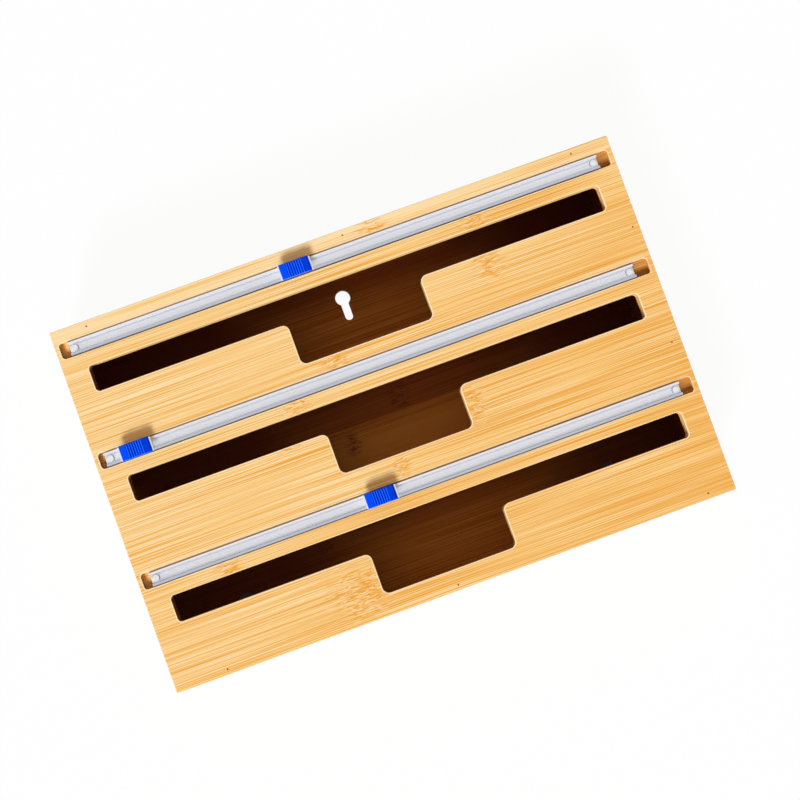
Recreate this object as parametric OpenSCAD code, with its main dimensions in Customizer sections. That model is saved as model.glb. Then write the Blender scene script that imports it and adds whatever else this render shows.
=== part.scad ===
// Wrap organizer for three rolls: a bamboo box with film slots in its face,
// a slide cutter beside each slot and a loading door in its left end.
// X runs along the rolls, Y from the front wall to the rear wall and Z out of the face.
// The origin is the middle of the back.

/* [Box] */
// Length of the box along the rolls
body_l = 355; // [280:1:420]
// Width of the box across the three rolls
body_w = 227; // [220:1:280]
// Height of the box from the back to the face
body_h = 70; // [55:1:90]
// Thickness of the face board
face_t = 10; // [8:0.5:14]
// Thickness of the back boards
back_t = 6; // [5:0.5:10]
// Thickness of the two long walls
wall_t = 8; // [7:0.5:10]
// Thickness of the right end wall
end_t = 11; // [9:0.5:14]
// Thickness of the dividers between the rolls
divider_t = 6; // [5.5:0.5:8]
// Place of the joint between the two back boards, from the middle
back_seam_y = 2; // [-15:0.5:15]

/* [Film slots] */
// Distance from each roll's rear wall to the line of its cutter rail: rear, middle, front
row_inset = [5.2, 2.3, 5.9]; // [2:0.1:7]
// Distance from a cutter's line to the rear edge of its film slot
slot_offset = 13.1; // [11:0.1:16]
// Width of a film slot
slot_w = 16.3; // [10:0.1:16.5]
// Shift of all slots and rail grooves from the middle of the box
cut_shift = -0.2; // [-2:0.1:2]
// Distance from the ends of the box to the ends of a film slot
slot_end = 15.3; // [14:0.1:30]
// Corner radius of a film slot
slot_r = 2.5; // [1:0.1:4]
// Length of the finger notch in a slot's front edge
notch_l = 84; // [60:0.5:120]
// Reach of the finger notch past the slot's front edge
notch_reach = 26.2; // [15:0.1:27]
// Radius at the corners and the mouth of the finger notch
notch_r = 4; // [2:0.1:6]

/* [Rail grooves] */
// Width of a rail groove
groove_w = 9.9; // [9.2:0.1:12]
// Depth of a rail groove
groove_depth = 5; // [3:0.1:6]
// Distance from the ends of the box to the ends of a groove
groove_end = 3; // [2.5:0.1:8]
// Corner radius of a groove
groove_r = 2; // [1:0.1:3]
// Thickness of the tape under a rail
tape_t = 0.5; // [0.3:0.1:1]
// Margin of the tape inside the rail's outline
tape_margin = 0.5; // [0.2:0.1:1.5]

/* [Cutter rails] */
// Width of a rail
rail_w = 8.8; // [8:0.1:9]
// Height of a rail
rail_h = 6; // [5.5:0.1:8]
// Room between a centred rail and each end of its groove
rail_end_gap = 6.2; // [5:0.1:12]
// Shift of each rail from the middle of its groove: rear, middle, front
rail_shift = [-0.7, -2.8, -1.1]; // [-4:0.1:4]
// Thickness of a rail's side walls
rail_wall_t = 1.1; // [0.8:0.1:1.4]
// Thickness of a rail's floor
rail_floor_t = 2.2; // [1.2:0.1:2.6]
// Reach of the lips over the channel
lip_reach = 0.6; // [0.5:0.1:0.8]
// Thickness of the lips
lip_t = 0.8; // [0.6:0.1:1.2]
// Diameter of the nub that stops a slider
nub_d = 4.2; // [2:0.1:5]
// Height of the nub above the rail's floor
nub_h = 2.4; // [1.5:0.1:2.6]
// Distance from the rail's end to the nub's centre
nub_inset = 3.2; // [2.6:0.1:8]

/* [Sliders] */
// Length of a slider's cap along the rail
cap_l = 18.4; // [16:0.1:26]
// Width of a slider's cap
cap_w = 9.5; // [9:0.1:12]
// Height of the cap at its two ends
cap_end_h = 1.6; // [1.5:0.1:4]
// Height of the cap at the two ends of its crown
cap_crown_h = 2.7; // [2.6:0.1:5]
// Length of the crown that carries the ribs
cap_crown_l = 10.4; // [8:0.1:12]
// Depth of the crown's hollow for a fingertip
crown_dip = 0.5; // [0.2:0.1:0.8]
// Number of finger ribs
rib_count = 7; // [5:1:8]
// Width of a finger rib
rib_d = 0.9; // [0.6:0.1:1]
// Margin between the ribs' ends and the cap's sides
rib_margin = 0.7; // [0.4:0.1:2]
// Length of the shoe that shows past each end of the cap
shoe_overrun = 1; // [0.3:0.1:2]
// Width of the shoe's flange under the cap
flange_w = 8.5; // [6:0.1:9]
// Thickness of the shoe's flange
flange_t = 0.7; // [0.5:0.1:1.5]
// Height of the cheeks that stand on the flange at both ends of the cap
cheek_h = 3.2; // [1:0.1:4]
// Length of the stem between the flange and the cap
stem_l = 13; // [10:0.5:16]
// Width of the stem
stem_w = 4.4; // [3.6:0.1:6]
// Height of the stem
stem_h = 2.5; // [1:0.1:4]
// Length of the tenon that holds the cap on the stem
tenon_l = 12; // [8:0.5:14]
// Width of the tenon
tenon_w = 3; // [2:0.1:3.4]
// Height of the tenon
tenon_h = 1.2; // [0.8:0.1:1.4]
// Thickness of the bridge over the blade
bridge_t = 0.8; // [0.5:0.1:1]
// Thickness of the blade
blade_t = 0.4; // [0.3:0.1:0.6]
// Length of the blade at its foot
blade_l = 15; // [12:0.5:16]
// Length of the blade at its top
blade_top_l = 9; // [6:0.5:11]
// Place of the rear slider from the middle of the box
slider_rear_x = -26.5; // [-100:0.1:100]
// Place of the front slider from the middle of the box
slider_front_x = -24.7; // [-100:0.1:100]
// Gap between the parked middle slider and its left nub
park_gap = 4.1; // [1:0.1:30]

/* [Loading door] */
// Thickness of the door
door_t = 10; // [8:0.5:12]
// Diameter of the pivot pins
pin_d = 4; // [3:0.1:5]
// Reach of a pivot pin into the door
pin_reach = 8; // [5:0.5:15]
// Depth of a pivot pin's outer end below the wall
pin_recess = 0.5; // [0.2:0.1:2]
// Radius of the finger notch in the door's lower edge
door_notch_r = 10; // [8:0.5:15]
// Diameter of the magnets
magnet_d = 4; // [3:0.1:4.4]
// Length of the magnets
magnet_l = 5; // [3:0.1:6]
// Height of the magnets above the back boards
magnet_rise = 14; // [8:0.5:20]

/* [Nails] */
// Diameter of a nail's shank
nail_d = 0.8; // [0.6:0.1:0.9]
// Diameter of a nail's head
nail_head_d = 1; // [1:0.1:2]
// Height of a nail's head
nail_head_h = 0.8; // [0.5:0.1:1.2]
// Length of a nail from the surface to its point
nail_l = 25; // [20:1:30]
// Depth of a nail's head below the surface
nail_recess = 0.2; // [0.1:0.1:0.8]
// Distance of the long walls' face nails from the box's rear and front
face_nail_edge = 3.4; // [3:0.1:5]
// Distance of the rear wall's face nails from the box's left and right ends
rear_nail_inset = [22.2, 24]; // [15:0.1:60]
// Distance of the front wall's face nails from the box's left and right ends
front_nail_inset = [32.8, 16.8]; // [15:0.1:60]
// Place of the middle face nails from the middle of the box: rear, front
mid_nail_x = [6.8, 1]; // [-20:0.1:20]
// Place of the end wall's face nails from the middle of the box
end_nail_y = [56, -17.4]; // [-70:0.1:70]
// Distance of the end wall's face nails from the box's right end
end_nail_edge = [4, 5.9]; // [3:0.1:7]
// Distance of the outer back nails from the ends of the box
back_nail_inset = 40; // [25:1:80]
// Place of the end wall's back nails from the middle of the box
back_end_nail_y = 62; // [50:1:80]
// Height of the corner nails above the back and below the face
corner_nail_inset = 18; // [14:0.5:24]

/* [Hanging keyholes] */
// Diameter of a keyhole's round opening
key_d = 9.6; // [8:0.1:12]
// Width of a keyhole's narrow slot
key_slot_w = 5; // [4:0.1:6]
// Length from the round opening's centre to the slot's end centre
key_slot_l = 12.3; // [10:0.1:14]
// Distance from the rear of the box to the single keyhole
key_rear_inset = 32.7; // [25:0.1:45]
// Distance from the front of the box to the pair of keyholes
key_front_inset = 34.9; // [30:0.1:45]
// Spacing of the pair of keyholes
key_spacing = 242; // [150:1:250]
// Shift of all keyholes from the middle of the box
key_shift = -3.6; // [-6:0.1:6]

/* [Clearances] */
// Running gap between a slider and its rail
slide_gap = 0.3; // [0.2:0.05:0.4]
// Running gap between a pivot pin and the door
pin_gap = 0.05; // [0.02:0.01:0.09]
// Gap round a pressed-in piece
seat_gap = 0.01; // [0.005:0.005:0.02]
// Gap between the closed door and the dividers
door_stop_gap = 0.3; // [0.2:0.05:1]
// Gap above the door
door_top_gap = 0.4; // [0.3:0.1:1]
// Gap below the door
door_foot_gap = 0.9; // [0.8:0.1:2]
// Gap at each end of the door
door_side_gap = 0.5; // [0.3:0.1:1]

/* [Hidden] */
$fn = 48;
// Overrun of a cut past a surface, and of a shape into the one that it grows from
over = 1;
ROWS = [0, 1, 2];

BAMBOO = [0.93, 0.73, 0.44];
BAMBOO_INSIDE = [0.80, 0.58, 0.32];
RAIL = [0.86, 0.87, 0.90, 0.8];
TAPE = [0.92, 0.92, 0.90];
BLUE = [0.02, 0.20, 0.95];
SHOE = [0.93, 0.93, 0.94];
STEEL = [0.62, 0.63, 0.65];
NICKEL = [0.75, 0.75, 0.73];

// Box planes
x_left = -body_l / 2;
x_right = body_l / 2;
y_rear = body_w / 2;
y_front = -body_w / 2;
z_lid = body_h - face_t;
inner_h = z_lid - back_t;
inner_y = body_w / 2 - wall_t;
end_x = x_right - end_t;

// Roll bays, counted from the rear
bay_w = (2 * inner_y - 2 * divider_t) / 3;
bay_pitch = bay_w + divider_t;
function bay_rear(i) = inner_y - i * bay_pitch;
function row_y(i) = bay_rear(i) - row_inset[i];
function divider_y(i) = bay_rear(i) + divider_t / 2;

// Face cuts
slot_l = body_l - 2 * slot_end;
groove_l = body_l - 2 * groove_end;
z_groove = body_h - groove_depth;

// Rails
rail_l = groove_l - 2 * rail_end_gap;
z_rail = z_groove + tape_t;
z_rail_floor = z_rail + rail_floor_t;
z_rail_top = z_rail + rail_h;
z_lip = z_rail_top - lip_t;
channel_w = rail_w - 2 * rail_wall_t;
mouth_w = channel_w - 2 * lip_reach;
nub_x = rail_l / 2 - nub_inset;
function rail_x(i) = cut_shift + rail_shift[i];

// Sliders
shoe_l = cap_l + 2 * shoe_overrun;
foot_w = channel_w - 2 * slide_gap;
neck_w = mouth_w - 2 * slide_gap;
z_foot = z_rail_floor + slide_gap;
z_neck = z_lip - slide_gap;
z_flange = z_rail_top + slide_gap;
z_stem = z_flange + flange_t;
z_cap = z_stem + stem_h;
z_bridge = z_flange - bridge_t;
dip_r = (pow(cap_crown_l / 2, 2) + pow(crown_dip, 2)) / (2 * crown_dip);
z_dip = cap_crown_h - crown_dip + dip_r;
rib_pitch = cap_crown_l / rib_count;
slit_w = blade_t + 2 * seat_gap;
parked_x = rail_x(1) - nub_x + nub_d / 2 + park_gap + shoe_l / 2;
slider_x = [slider_rear_x, parked_x, slider_front_x];

// Door
hinge_x = x_left + door_t / 2;
hinge_z = z_lid - door_top_gap - door_t / 2;
door_inner_x = x_left + door_t;
door_half_l = inner_y - door_side_gap;
door_foot_z = back_t + door_foot_gap;
divider_x = door_inner_x + door_stop_gap;
magnet_z = back_t + magnet_rise;
pin_l = wall_t - pin_recess + door_side_gap + pin_reach;

// Shared shapes

// Rectangle with round corners, standing on the X axis and centred along it
module rounded_rect(length, width, radius) {
    translate([-length / 2 + radius, 0])
        square([length - 2 * radius, width]);
    translate([-length / 2, radius])
        square([length, width - 2 * radius]);
    for (side = [-1, 1], end = [radius, width - radius])
        translate([side * (length / 2 - radius), end])
            circle(r = radius);
}

// Corner of a square that is left outside a round edge
module corner_fillet(radius) {
    difference() {
        translate([0, -radius])
            square(radius);
        translate([radius, -radius])
            circle(r = radius);
    }
}

// Film slot with its finger notch, seen from above, its rear edge on the X axis
module slot_outline() {
    translate([0, -slot_w])
        rounded_rect(slot_l, slot_w, slot_r);
    translate([0, -slot_w - notch_reach])
        rounded_rect(notch_l, notch_reach + slot_w / 2, notch_r);
    translate([0, -slot_w])
        for (side = [0, 1])
            mirror([side, 0])
                translate([notch_l / 2, 0])
                    corner_fillet(notch_r);
}

// Keyhole seen from above, its round opening at the origin and its slot towards the front
module keyhole_outline() {
    circle(d = key_d);
    translate([-key_slot_w / 2, -key_slot_l])
        square([key_slot_w, key_slot_l]);
    translate([0, -key_slot_l])
        circle(d = key_slot_w);
}

// Nail driven down from the origin
module nail() {
    translate([0, 0, -nail_recess - nail_head_h])
        cylinder(h = nail_head_h, d = nail_head_d);
    translate([0, 0, -nail_l])
        cylinder(h = nail_l - nail_recess - nail_head_h, d = nail_d);
}

// Hole that a nail leaves
module nail_hole() {
    translate([0, 0, -nail_recess - nail_head_h - seat_gap])
        cylinder(h = nail_recess + nail_head_h + seat_gap + over, d = nail_head_d + 2 * seat_gap);
    translate([0, 0, -nail_l - seat_gap])
        cylinder(h = nail_l, d = nail_d + 2 * seat_gap);
}

module at_face_nails() {
    rear_x = [x_left + rear_nail_inset[0], mid_nail_x[0], x_right - rear_nail_inset[1]];
    front_x = [x_left + front_nail_inset[0], mid_nail_x[1], x_right - front_nail_inset[1]];
    for (x = rear_x)
        translate([x, y_rear - face_nail_edge, body_h])
            children();
    for (x = front_x)
        translate([x, y_front + face_nail_edge, body_h])
            children();
    for (k = [0, 1])
        translate([x_right - end_nail_edge[k], end_nail_y[k], body_h])
            children();
}

module at_back_nails() {
    outer_x = body_l / 2 - back_nail_inset;
    wall_y = body_w / 2 - wall_t / 2;
    for (x = [-outer_x, 0, outer_x], side = [-1, 1])
        translate([x, side * wall_y, 0])
            rotate([180, 0, 0])
                children();
    for (x = [-outer_x, outer_x], i = [1, 2])
        translate([x, divider_y(i), 0])
            rotate([180, 0, 0])
                children();
    for (side = [-1, 1])
        translate([x_right - end_t / 2, side * back_end_nail_y, 0])
            rotate([180, 0, 0])
                children();
}

module at_corner_nails() {
    for (side = [0, 1], z = [corner_nail_inset, body_h - corner_nail_inset])
        mirror([0, side, 0])
            translate([x_right - end_t / 2, y_rear, z])
                rotate([-90, 0, 0])
                    children();
}

module nail_holes() {
    at_face_nails() nail_hole();
    at_back_nails() nail_hole();
    at_corner_nails() nail_hole();
}

// Places at the two pivot pins, with +Z towards the middle of the door
module at_pins() {
    for (side = [0, 1])
        mirror([0, side, 0])
            translate([hinge_x, y_rear - pin_recess, hinge_z])
                rotate([90, 0, 0])
                    children();
}

// Places at the two dividers' left ends, with +Z along the divider
module at_divider_ends(x) {
    for (i = [1, 2])
        translate([x, divider_y(i), magnet_z])
            rotate([0, 90, 0])
                children();
}

module at_keyholes() {
    translate([key_shift, y_rear - key_rear_inset])
        children();
    for (side = [-1, 1])
        translate([key_shift + side * key_spacing / 2, y_front + key_front_inset])
            children();
}

// Box

module face_panel() {
    color(BAMBOO)
        difference() {
            translate([x_left, y_front, z_lid])
                cube([body_l, body_w, face_t]);
            for (i = ROWS) {
                translate([cut_shift, row_y(i) - groove_w / 2, z_groove])
                    linear_extrude(groove_depth + over)
                        rounded_rect(groove_l, groove_w, groove_r);
                translate([cut_shift, row_y(i) - slot_offset, z_lid - over])
                    linear_extrude(face_t + 2 * over)
                        slot_outline();
            }
            at_face_nails() nail_hole();
        }
}

module long_wall(side) {
    color(BAMBOO)
        difference() {
            translate([x_left, side > 0 ? inner_y : y_front, back_t])
                cube([body_l, wall_t, inner_h]);
            nail_holes();
            at_pins()
                translate([0, 0, -pin_recess - over])
                    cylinder(h = wall_t + 2 * over, d = pin_d + 2 * seat_gap);
        }
}

module front_wall() {
    long_wall(-1);
}

module rear_wall() {
    long_wall(1);
}

module right_end_wall() {
    color(BAMBOO)
        difference() {
            translate([end_x, -inner_y, back_t])
                cube([end_t, 2 * inner_y, inner_h]);
            nail_holes();
        }
}

module back_board(y_low, y_high) {
    color(BAMBOO_INSIDE)
        difference() {
            translate([x_left, y_low, 0])
                cube([body_l, y_high - y_low, back_t]);
            translate([0, 0, -over])
                linear_extrude(back_t + 2 * over)
                    at_keyholes() keyhole_outline();
            at_back_nails() nail_hole();
        }
}

module back_board_rear() {
    back_board(back_seam_y, y_rear);
}

module back_board_front() {
    back_board(y_front, back_seam_y);
}

module divider(i) {
    color(BAMBOO_INSIDE)
        difference() {
            translate([divider_x, divider_y(i) - divider_t / 2, back_t])
                cube([end_x - divider_x, divider_t, inner_h]);
            at_back_nails() nail_hole();
            at_divider_ends(divider_x - over)
                cylinder(h = magnet_l + over + seat_gap, d = magnet_d + 2 * seat_gap);
        }
}

module divider_rear() {
    divider(1);
}

module divider_front() {
    divider(2);
}

// Loading door, a flap with a round upper edge that turns on two pins

module loading_door() {
    color(BAMBOO)
        difference() {
            union() {
                translate([hinge_x, -door_half_l, hinge_z])
                    rotate([-90, 0, 0])
                        cylinder(h = 2 * door_half_l, d = door_t);
                translate([x_left, -door_half_l, door_foot_z])
                    cube([door_t, 2 * door_half_l, hinge_z - door_foot_z]);
            }
            translate([x_left - over, 0, door_foot_z])
                rotate([0, 90, 0])
                    cylinder(h = door_t + 2 * over, r = door_notch_r);
            at_pins()
                cylinder(h = pin_l + pin_gap, d = pin_d + 2 * pin_gap);
            at_divider_ends(door_inner_x - magnet_l - seat_gap)
                cylinder(h = magnet_l + seat_gap + over, d = magnet_d + 2 * seat_gap);
        }
}

module door_pivot_pins() {
    color(STEEL)
        at_pins()
            cylinder(h = pin_l, d = pin_d);
}

module door_magnets() {
    color(NICKEL)
        at_divider_ends(door_inner_x - magnet_l)
            cylinder(h = magnet_l, d = magnet_d);
}

module divider_magnets() {
    color(NICKEL)
        at_divider_ends(divider_x)
            cylinder(h = magnet_l, d = magnet_d);
}

// Nails

module face_nails() {
    color(STEEL)
        at_face_nails() nail();
}

module back_nails() {
    color(STEEL)
        at_back_nails() nail();
}

module corner_nails() {
    color(STEEL)
        at_corner_nails() nail();
}

// Slide cutters

module rail_tape(i) {
    tape_l = rail_l - 2 * tape_margin;
    tape_w = rail_w - 2 * tape_margin;
    color(TAPE)
        translate([rail_x(i) - tape_l / 2, row_y(i) - tape_w / 2, z_groove])
            cube([tape_l, tape_w, tape_t]);
}

// One side of a rail: a wall with a lip along its top
module rail_side() {
    translate([-rail_l / 2, channel_w / 2, 0])
        cube([rail_l, rail_wall_t, rail_h]);
    translate([-rail_l / 2, mouth_w / 2, rail_h - lip_t])
        cube([rail_l, lip_reach + rail_wall_t, lip_t]);
}

module cutter_rail(i) {
    color(RAIL)
        translate([rail_x(i), row_y(i), z_rail]) {
            rail_side();
            mirror([0, 1, 0])
                rail_side();
            translate([-rail_l / 2, -rail_w / 2, 0])
                cube([rail_l, rail_w, rail_floor_t]);
            for (side = [-1, 1])
                translate([side * nub_x, 0, 0])
                    cylinder(h = rail_floor_t + nub_h, d = nub_d);
        }
}

// Cap seen from the front, with sloping ends and a hollow crown
module cap_profile() {
    ends = cap_l / 2;
    crown = cap_crown_l / 2;
    difference() {
        polygon([
            [-ends, 0], [ends, 0], [ends, cap_end_h], [crown, cap_crown_h],
            [-crown, cap_crown_h], [-ends, cap_end_h]
        ]);
        translate([0, z_dip])
            circle(r = dip_r);
    }
}

module slider_cap(i) {
    color(BLUE)
        translate([slider_x[i], row_y(i), z_cap])
            difference() {
                union() {
                    translate([0, cap_w / 2, 0])
                        rotate([90, 0, 0])
                            linear_extrude(cap_w)
                                cap_profile();
                    for (k = [0:rib_count - 1]) {
                        x = (k - (rib_count - 1) / 2) * rib_pitch;
                        z = z_dip - sqrt(pow(dip_r, 2) - pow(x, 2));
                        translate([x, cap_w / 2 - rib_margin, z])
                            rotate([90, 0, 0])
                                cylinder(h = cap_w - 2 * rib_margin, d = rib_d);
                    }
                }
                translate([-tenon_l / 2 - seat_gap, -tenon_w / 2 - seat_gap, -over])
                    cube([tenon_l + 2 * seat_gap, tenon_w + 2 * seat_gap, tenon_h + seat_gap + over]);
            }
}

module slider_shoe(i) {
    color(SHOE)
        translate([slider_x[i], row_y(i), 0])
            difference() {
                union() {
                    translate([-shoe_l / 2, -foot_w / 2, z_foot])
                        cube([shoe_l, foot_w, z_neck - z_foot]);
                    translate([-shoe_l / 2, -neck_w / 2, z_foot])
                        cube([shoe_l, neck_w, z_stem - z_foot]);
                    translate([-shoe_l / 2, -flange_w / 2, z_flange])
                        cube([shoe_l, flange_w, flange_t]);
                    for (side = [0, 1])
                        mirror([side, 0, 0])
                            translate([cap_l / 2 + seat_gap, -flange_w / 2, z_flange])
                                cube([shoe_overrun - seat_gap, flange_w, flange_t + cheek_h]);
                    translate([-stem_l / 2, -stem_w / 2, z_flange])
                        cube([stem_l, stem_w, z_cap - z_flange]);
                    translate([-tenon_l / 2, -tenon_w / 2, z_cap - over])
                        cube([tenon_l, tenon_w, tenon_h + over]);
                }
                translate([-shoe_l / 2 - over, -slit_w / 2, z_foot - over])
                    cube([shoe_l + 2 * over, slit_w, z_bridge - z_foot + over]);
            }
}

module cutter_blade(i) {
    foot = blade_l / 2;
    top = blade_top_l / 2;
    color(STEEL)
        translate([slider_x[i], row_y(i) + blade_t / 2, 0])
            rotate([90, 0, 0])
                linear_extrude(blade_t)
                    polygon([[-foot, z_foot], [foot, z_foot], [top, z_bridge], [-top, z_bridge]]);
}

module rail_tape_rear() { rail_tape(0); }
module rail_tape_middle() { rail_tape(1); }
module rail_tape_front() { rail_tape(2); }
module cutter_rail_rear() { cutter_rail(0); }
module cutter_rail_middle() { cutter_rail(1); }
module cutter_rail_front() { cutter_rail(2); }
module slider_cap_rear() { slider_cap(0); }
module slider_cap_middle() { slider_cap(1); }
module slider_cap_front() { slider_cap(2); }
module slider_shoe_rear() { slider_shoe(0); }
module slider_shoe_middle() { slider_shoe(1); }
module slider_shoe_front() { slider_shoe(2); }
module cutter_blade_rear() { cutter_blade(0); }
module cutter_blade_middle() { cutter_blade(1); }
module cutter_blade_front() { cutter_blade(2); }

face_panel();
front_wall();
rear_wall();
right_end_wall();
back_board_rear();
back_board_front();
divider_rear();
divider_front();
loading_door();
door_pivot_pins();
door_magnets();
divider_magnets();
face_nails();
back_nails();
corner_nails();
rail_tape_rear();
rail_tape_middle();
rail_tape_front();
cutter_rail_rear();
cutter_rail_middle();
cutter_rail_front();
slider_cap_rear();
slider_cap_middle();
slider_cap_front();
slider_shoe_rear();
slider_shoe_middle();
slider_shoe_front();
cutter_blade_rear();
cutter_blade_middle();
cutter_blade_front();
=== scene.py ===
import math
import bmesh
import bpy
from mathutils import Matrix, Vector
from mathutils.geometry import tessellate_polygon


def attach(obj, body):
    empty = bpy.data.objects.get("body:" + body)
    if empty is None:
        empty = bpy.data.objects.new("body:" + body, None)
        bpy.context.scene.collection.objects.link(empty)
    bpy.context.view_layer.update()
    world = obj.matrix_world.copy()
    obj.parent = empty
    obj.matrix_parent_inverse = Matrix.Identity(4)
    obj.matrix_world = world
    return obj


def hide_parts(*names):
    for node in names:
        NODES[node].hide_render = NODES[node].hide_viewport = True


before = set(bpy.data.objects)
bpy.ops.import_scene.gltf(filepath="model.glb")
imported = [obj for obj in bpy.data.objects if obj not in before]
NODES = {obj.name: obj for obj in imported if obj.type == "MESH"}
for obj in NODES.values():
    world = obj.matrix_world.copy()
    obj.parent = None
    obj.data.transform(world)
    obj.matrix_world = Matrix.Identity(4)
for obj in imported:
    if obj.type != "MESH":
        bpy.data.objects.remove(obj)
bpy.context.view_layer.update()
MM = 0.001
ROWS = ("rear", "middle", "front")


def reach(node):
    """Lowest and highest corner of a solid, in millimetres."""
    corners = [Vector(corner) / MM for corner in NODES[node].bound_box]
    low = Vector([min(corner[axis] for corner in corners) for axis in range(3)])
    high = Vector([max(corner[axis] for corner in corners) for axis in range(3)])
    return low, high


# Camera: it looks down on the face from above its middle, with the box turned in the picture

PICTURE_PX = 800
FOCAL_PX = 1800
SENSOR = 36.0
NEAREST = 0.01
FARTHEST = 20.0
CAMERA_PLACE = Vector((-42.2, -31.4, 1144.9)) * MM
CAMERA_AIM = Vector((5.7, 5.2, 70.0)) * MM
CAMERA_ROLL = math.radians(19.9)


def make_camera():
    data = bpy.data.cameras.new("camera")
    data.sensor_width = SENSOR
    data.lens = FOCAL_PX / PICTURE_PX * SENSOR
    data.clip_start = NEAREST
    data.clip_end = FARTHEST
    camera = bpy.data.objects.new("camera", data)
    bpy.context.scene.collection.objects.link(camera)
    back = (CAMERA_PLACE - CAMERA_AIM).normalized()
    level_right = Vector((0, 1, 0)).cross(back).normalized()
    level_up = back.cross(level_right)
    up = level_up * math.cos(CAMERA_ROLL) + level_right * math.sin(CAMERA_ROLL)
    right = up.cross(back)
    turn = Matrix((right, up, back)).transposed()
    camera.matrix_world = Matrix.Translation(CAMERA_PLACE) @ turn.to_4x4()
    bpy.context.scene.camera = camera


make_camera()


# Node helpers

# Range that most values of a noise lie in
NOISE_LOW = 0.3
NOISE_HIGH = 0.7


def new_material(name):
    material = bpy.data.materials.new(name)
    material.use_nodes = True
    tree = material.node_tree
    return material, tree, tree.nodes["Principled BSDF"]


def put(socket, value):
    """Sets a socket to a value, or links it to another node's output."""
    if isinstance(value, bpy.types.NodeSocket):
        socket.id_data.links.new(value, socket)
    elif socket.type == "RGBA":
        socket.default_value = (*value, 1.0)
    else:
        socket.default_value = value


def calc(tree, operation, *values):
    node = tree.nodes.new("ShaderNodeMath")
    node.operation = operation
    for socket, value in zip(node.inputs, values):
        put(socket, value)
    return node.outputs[0]


def weigh(tree, start, *terms):
    """start, plus each value's distance from one half times its weight."""
    total = start - sum(weight for _, weight in terms) / 2
    for value, weight in terms:
        total = calc(tree, "MULTIPLY_ADD", value, weight, total)
    return total


def remap(tree, value, low, high, to_low=0.0, to_high=1.0, kind="SMOOTHSTEP"):
    node = tree.nodes.new("ShaderNodeMapRange")
    node.interpolation_type = kind
    for name, setting in zip(("Value", "From Min", "From Max", "To Min", "To Max"),
                             (value, low, high, to_low, to_high)):
        put(node.inputs[name], setting)
    return node.outputs["Result"]


def grade(tree, place, span, kind="SMOOTHSTEP"):
    """Goes from one value to another between two places. span has the places in millimetres first."""
    start, end, *values = span
    return remap(tree, place, start * MM, end * MM, *values, kind=kind)


def by_noise(tree, value, at_low, at_high):
    """Goes from one value to another over the usual range of a noise."""
    return remap(tree, value, NOISE_LOW, NOISE_HIGH, at_low, at_high)


def combine(tree, x, y, z):
    node = tree.nodes.new("ShaderNodeCombineXYZ")
    for socket, value in zip(node.inputs, (x, y, z)):
        put(socket, value)
    return node.outputs[0]


def coordinates(tree, kind="Object"):
    """The X, Y and Z outputs of a texture coordinate."""
    split = tree.nodes.new("ShaderNodeSeparateXYZ")
    put(split.inputs[0], tree.nodes.new("ShaderNodeTexCoord").outputs[kind])
    return split.outputs


def vector_calc(tree, operation, first, second):
    node = tree.nodes.new("ShaderNodeVectorMath")
    node.operation = operation
    put(node.inputs[0], first)
    put(node.inputs[1], second)
    return node.outputs["Value" if operation in ("DISTANCE", "DOT_PRODUCT") else "Vector"]


def noise(tree, vector, detail=2.0, roughness=0.5):
    node = tree.nodes.new("ShaderNodeTexNoise")
    put(node.inputs["Vector"], vector)
    put(node.inputs["Scale"], 1.0)
    put(node.inputs["Detail"], detail)
    put(node.inputs["Roughness"], roughness)
    return node.outputs["Fac"]


def attribute(tree, name):
    node = tree.nodes.new("ShaderNodeAttribute")
    node.attribute_name = name
    return node.outputs["Fac"]


def mix(tree, share, first, second):
    node = tree.nodes.new("ShaderNodeMix")
    node.data_type = "RGBA"
    put(node.inputs[0], share)
    for socket, value in zip([s for s in node.inputs if s.type == "RGBA"], (first, second)):
        put(socket, value)
    return [s for s in node.outputs if s.type == "RGBA"][0]


def ramp(tree, value, stops):
    node = tree.nodes.new("ShaderNodeValToRGB")
    elements = node.color_ramp.elements
    while len(elements) < len(stops):
        elements.new(1.0)
    for element, (place, color) in zip(elements, stops):
        element.position = place
        element.color = (*color, 1.0)
    put(node.inputs["Fac"], value)
    return node.outputs["Color"]


def bump(tree, height, distance, strength):
    """distance is in millimetres."""
    node = tree.nodes.new("ShaderNodeBump")
    put(node.inputs["Strength"], strength)
    put(node.inputs["Distance"], distance * MM)
    put(node.inputs["Height"], height)
    return node.outputs["Normal"]


def mix_surface(tree, share, first, second):
    """Makes a mix of two shaders the surface of a material."""
    mixed = tree.nodes.new("ShaderNodeMixShader")
    put(mixed.inputs["Fac"], share)
    put(mixed.inputs[1], first.outputs[0])
    put(mixed.inputs[2], second.outputs[0])
    put(tree.nodes["Material Output"].inputs["Surface"], mixed.outputs[0])


def let_light_through(tree, clearness):
    """Lets a share of the light pass through the surface, as milky plastic does."""
    clear = tree.nodes.new("ShaderNodeBsdfTransparent")
    shadow_ray = tree.nodes.new("ShaderNodeLightPath").outputs["Is Shadow Ray"]
    share = calc(tree, "MULTIPLY", shadow_ray, clearness)
    mix_surface(tree, share, tree.nodes["Principled BSDF"], clear)


# Bamboo: strips glued side by side, with long fibres and the flecked nodes of the stems

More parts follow.
